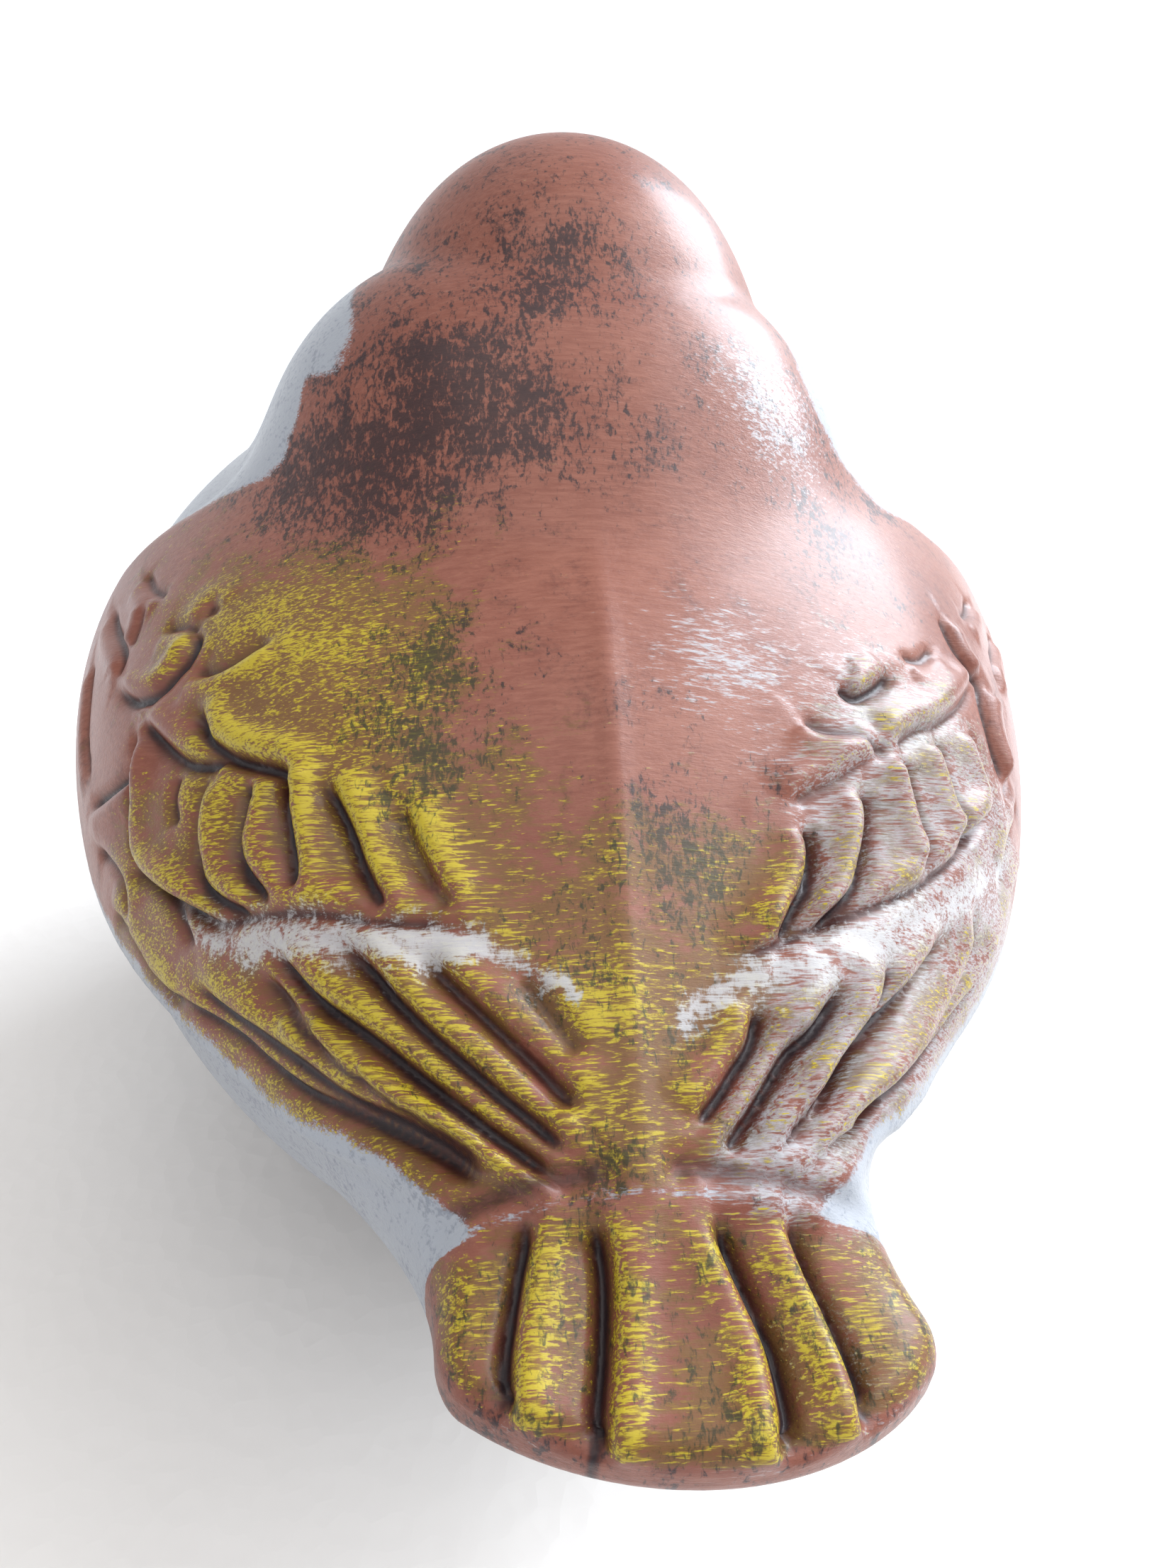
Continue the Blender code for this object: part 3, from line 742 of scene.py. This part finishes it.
paint = {
    "brick": (0.166, 0.051, 0.032, 1.0),
    "brickPale": (0.232, 0.086, 0.057, 1.0),
    "brickDark": (0.090, 0.027, 0.020, 1.0),
    "wine": (0.042, 0.010, 0.008, 1.0),
    "black": (0.012, 0.008, 0.011, 1.0),
    "umber": (0.118, 0.062, 0.014, 1.0),
    "ochre": (0.235, 0.150, 0.010, 1.0),
    "sulphur": (0.400, 0.310, 0.018, 1.0),
    "moss": (0.022, 0.022, 0.008, 1.0),
    "white": (0.370, 0.360, 0.365, 1.0),
    # Pale blue-grey silver: partly grey paint, partly painted highlight of the glaze.
    "silverSheen": (0.350, 0.365, 0.390, 1.0),
    "grey": (0.285, 0.300, 0.330, 1.0),
    "greyDark": (0.130, 0.145, 0.180, 1.0),
    "dotDark": (0.020, 0.016, 0.018, 1.0),
}

# Glaze values of the shader, with the depth of its brush marks in metres.
glaze = {
    "specular": 0.22,
    "coat": 0.22,
    "coatRoughness": 0.22,
    "bumpDistance": 0.0004,
    "bumpStrength": 0.55,
}


def paintedCeramic():
    f = Finish("paintedCeramic")
    relief = f.value("relief")
    groove = f.value("groove")
    brown = f.value("brown")
    pale = f.value("pale")
    ochre = f.value("ochre")
    silverSheen = f.value("silverSheen")
    smudge = f.value("smudge")

    strokes = f.noise(f.place((210.0, 1500.0, 1500.0), (0.0, 0.16, 0.14)), 1.0, 4.0, 0.66, 0.4)
    hair = f.noise(f.place((330.0, 3600.0, 3600.0), (0.0, -0.14, -0.12)), 1.0, 3.0, 0.6, 0.2)
    dabs = f.noise(f.place((1500.0, 650.0, 650.0), (0.0, 0.2, 0.1)), 1.0, 4.0, 0.66, 0.6)
    cloud = f.noise(f.place((26.0, 26.0, 26.0)), 1.0, 3.0, 0.55)
    patch = f.noise(f.place((150.0, 150.0, 150.0)), 1.0, 6.0, 0.70, 0.4)
    grit = f.noise(f.place((1300.0, 1300.0, 1300.0)), 1.0, 4.0, 0.65)
    brushed = strokes * 0.40 + hair * 0.35 + patch * 0.25

    base = f.mix(f.between(cloud * 0.5 + strokes * 0.5, 0.38, 0.66), paint["brick"], paint["brickPale"])
    base = f.mix(f.between(patch * 0.7 + grit * 0.3, 0.50, 0.66) * 0.6, base, paint["brickDark"])
    base = f.mix(f.between(relief, -0.05, -0.85) * 0.7, base, paint["wine"])

    # Silver in the troughs: grey dry-brush and a painted reflection of the light on the glaze.
    low = 0.66 - silverSheen * 0.20
    rubbedSheen = f.between(brushed, low - 0.05, low + 0.07)
    base = f.mix(rubbedSheen * f.between(relief, -0.9, 0.0) * 0.78, base, paint["silverSheen"])

    amount = ochre * (0.62 + f.between(relief, -0.35, 0.50) * 0.62)
    low = 0.60 - ochre * 0.24
    wash = f.between(patch * 0.45 + cloud * 0.25 + strokes * 0.30, low, low + 0.10)
    base = f.mix(wash * 0.75, base, paint["umber"])
    low = 0.660 - amount * 0.180
    base = f.mix(f.between(brushed, low - 0.035, low + 0.045) * 0.8, base, paint["ochre"])
    lick = f.between(hair * 0.6 + strokes * 0.2 + patch * 0.2, low, low + 0.07)
    base = f.mix(lick * 0.85, base, paint["sulphur"])

    # Silver over the ochre: grey dry-brush and a painted highlight.
    low = 0.70 - silverSheen * 0.17
    rubbedSheen = f.between(brushed, low - 0.05, low + 0.07)
    base = f.mix(rubbedSheen * f.between(relief, 0.2, -0.3) * 0.75, base, paint["silverSheen"])

    low = 0.645 - smudge * 0.165
    blot = patch * 0.34 + dabs * 0.48 + grit * 0.18
    dark = f.mix(f.between(ochre, 0.3, 0.7), paint["black"], paint["moss"])
    base = f.mix(f.between(blot, low - 0.035, low + 0.055) * 0.84, base, dark)

    base = f.mix(f.between(groove + strokes * 0.5, 0.45, 0.90) * 0.9, base, paint["wine"])
    base = f.mix(f.between(groove + patch * 0.8, 0.92, 1.28) * 0.85, base, paint["black"])

    low = 0.600 - pale * 0.155
    chalk = f.between(brushed * 0.5 + patch * 0.3 + dabs * 0.2, low - 0.03, low + 0.06)
    base = f.mix(chalk * f.between(groove, 0.9, 0.4) * 0.88, base, paint["white"])

    speckle = f.between(grit * 0.6 + patch * 0.4, 0.50, 0.62)
    belly = f.mix(speckle * 0.6, paint["grey"], paint["greyDark"])
    edge = f.between(brown + (patch - 0.5) * 4.0 + (hair - 0.5) * 3.0, -0.5, 0.5)
    colour = f.mix(edge, belly, base)
    colour = f.mix(f.between(f.value("eye"), *cover["eyeEdge"]), colour, paint["dotDark"])
    colour = f.mix(f.between(f.value("beak"), *cover["beakEdge"]), colour, paint["dotDark"])
    f.join(f.shader.inputs["Base Color"], colour)
    f.join(f.shader.inputs["Roughness"], 0.34 + grit * 0.18 + groove * 0.1)
    f.shader.inputs["Specular IOR Level"].default_value = glaze["specular"]
    f.shader.inputs["Coat Weight"].default_value = glaze["coat"]
    f.shader.inputs["Coat Roughness"].default_value = glaze["coatRoughness"]
    height = strokes * 0.35 + hair * 0.3 + grit * 0.2 + patch * 0.3
    f.join(f.shader.inputs["Normal"], f.bump(height, glaze["bumpDistance"], glaze["bumpStrength"]))
    return f.material


piece.data.materials.clear()
piece.data.materials.append(paintedCeramic())
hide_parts("sparrow")
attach(piece, "root")
print("figure painted")

# Pale floor, flat around the bird and turned up far out, open to views from all sides.
studio = {
    "flat": 1.0,
    "corner": 0.5,
    "steps": 8,
    "sides": 96,
    # Painted shade: the floor is a darker warm grey close to the bird and white further out.
    "shadeTone": (0.70, 0.665, 0.635, 1.0),
    "shadeTonePale": (0.79, 0.765, 0.740, 1.0),
    "white": (0.93, 0.93, 0.93, 1.0),
    "whiteFrom": 0.14,
    "whiteTo": 0.34,
    "beadScale": 260.0,
    "beadHeight": 0.0006,
    "roughness": 0.6,
}


def makeFloor():
    sides = studio["sides"]
    rows = []
    for i in range(studio["steps"] + 1):
        a = math.pi / 2 * i / studio["steps"]
        rows.append((studio["flat"] + studio["corner"] * math.sin(a), studio["corner"] * (1.0 - math.cos(a))))
    points = [(0.0, 0.0, 0.0)]
    for r, z in rows:
        for k in range(sides):
            turn = 2.0 * math.pi * k / sides
            points.append((r * math.cos(turn), r * math.sin(turn), z))
    faces = [(0, 1 + k, 1 + (k + 1) % sides) for k in range(sides)]
    for i in range(studio["steps"]):
        for k in range(sides):
            a = 1 + i * sides + k
            b = 1 + i * sides + (k + 1) % sides
            faces.append((a, a + sides, b + sides, b))
    mesh = bpy.data.meshes.new("studioFloor")
    mesh.from_pydata(points, [], faces)
    mesh.update()
    floor = bpy.data.objects.new("studioFloor", mesh)
    bpy.context.collection.objects.link(floor)
    mesh.polygons.foreach_set("use_smooth", [True] * len(mesh.polygons))
    f = Finish("paleFoam")
    spot = f.place((1.0, 1.0, 1.0))
    beads = f.add("ShaderNodeTexVoronoi", {}, {"Vector": spot, "Scale": studio["beadScale"]})
    soft = f.noise(f.place((9.0, 9.0, 9.0)), 1.0, 3.0)
    reach = f.add("ShaderNodeVectorMath", {"operation": "LENGTH"}, {"Vector": spot}, "Value")
    # Painted shade around the bird, fading to white between whiteFrom and whiteTo.
    near = f.mix(soft, studio["shadeTone"], studio["shadeTonePale"])
    far = f.between(reach, studio["whiteFrom"], studio["whiteTo"])
    f.join(f.shader.inputs["Base Color"], f.mix(far, near, studio["white"]))
    f.shader.inputs["Roughness"].default_value = studio["roughness"]
    f.join(f.shader.inputs["Normal"], f.bump(beads, studio["beadHeight"], 0.25))
    mesh.materials.append(f.material)


makeFloor()

# The photograph's view: place in pattern millimetres, focal length in its own pixels.
camera = {
    "at": (14.55, 84.17, 158.47),
    "yaw": math.radians(-7.4),
    "pitch": math.radians(33.0),
    "roll": math.radians(4.1),
    "focal": 1597.63,
    "imageWidth": 1659.0,
    "sensor": 36.0,
    "nearest": 0.01,
}


def makeCamera():
    yaw, pitch, roll = camera["yaw"], camera["pitch"], camera["roll"]
    ahead = np.array([math.sin(yaw) * math.cos(pitch), -math.cos(yaw) * math.cos(pitch), -math.sin(pitch)])
    right = np.array([-math.cos(yaw), -math.sin(yaw), 0.0])
    up = np.cross(right, ahead)
    c, s = math.cos(roll), math.sin(roll)
    right, up = c * right + s * up, c * up - s * right
    spot = toReal(np.array([camera["at"]]))[0]
    bpy.ops.object.camera_add()
    view = bpy.context.object
    view.name = "photoCamera"
    view.matrix_world = Matrix([(right[i], up[i], -ahead[i], spot[i]) for i in range(3)] + [(0, 0, 0, 1)])
    view.data.sensor_fit = "HORIZONTAL"
    view.data.sensor_width = camera["sensor"]
    view.data.lens = camera["sensor"] * camera["focal"] / camera["imageWidth"]
    view.data.clip_start = camera["nearest"]
    bpy.context.scene.camera = view


makeCamera()

# Area lights as place, size, watts and colour.
lights = {
    "window": ((-0.75, -0.02, 0.75), (0.9, 0.9), 11.0, (0.90, 0.95, 1.0)),
    "sheen": ((-0.62, -0.55, 0.62), (0.5, 0.5), 12.0, (0.84, 0.91, 1.0)),
    "overhead": ((-0.1, 0.25, 1.1), (1.2, 1.2), 6.0, (1.0, 0.98, 0.96)),
    "fill": ((0.9, 0.5, 0.5), (1.0, 1.0), 0.4, (1.0, 0.97, 0.94)),
}

sky = {
    "colour": (0.95, 0.97, 1.0, 1.0),
    "strength": 0.72,
    "aim": (0.0, 0.0, 0.09),
}


def makeLights():
    for name, (spot, size, power, colour) in lights.items():
        bpy.ops.object.light_add(type="AREA", location=spot)
        lamp = bpy.context.object
        lamp.name = name
        lamp.data.shape = "RECTANGLE"
        lamp.data.size, lamp.data.size_y = size
        lamp.data.energy = power
        lamp.data.color = colour
        gap = [a - b for a, b in zip(sky["aim"], spot)]
        turn = math.atan2(gap[1], gap[0])
        drop = math.acos(-gap[2] / math.sqrt(sum(g * g for g in gap)))
        lamp.rotation_euler = (drop, 0.0, turn - math.pi / 2)
    world = bpy.data.worlds.new("studioSky")
    world.use_nodes = True
    backdrop = world.node_tree.nodes["Background"]
    backdrop.inputs["Color"].default_value = sky["colour"]
    backdrop.inputs["Strength"].default_value = sky["strength"]
    bpy.context.scene.world = world


makeLights()
bpy.context.scene.view_settings.view_transform = "Standard"
print("studio ready")
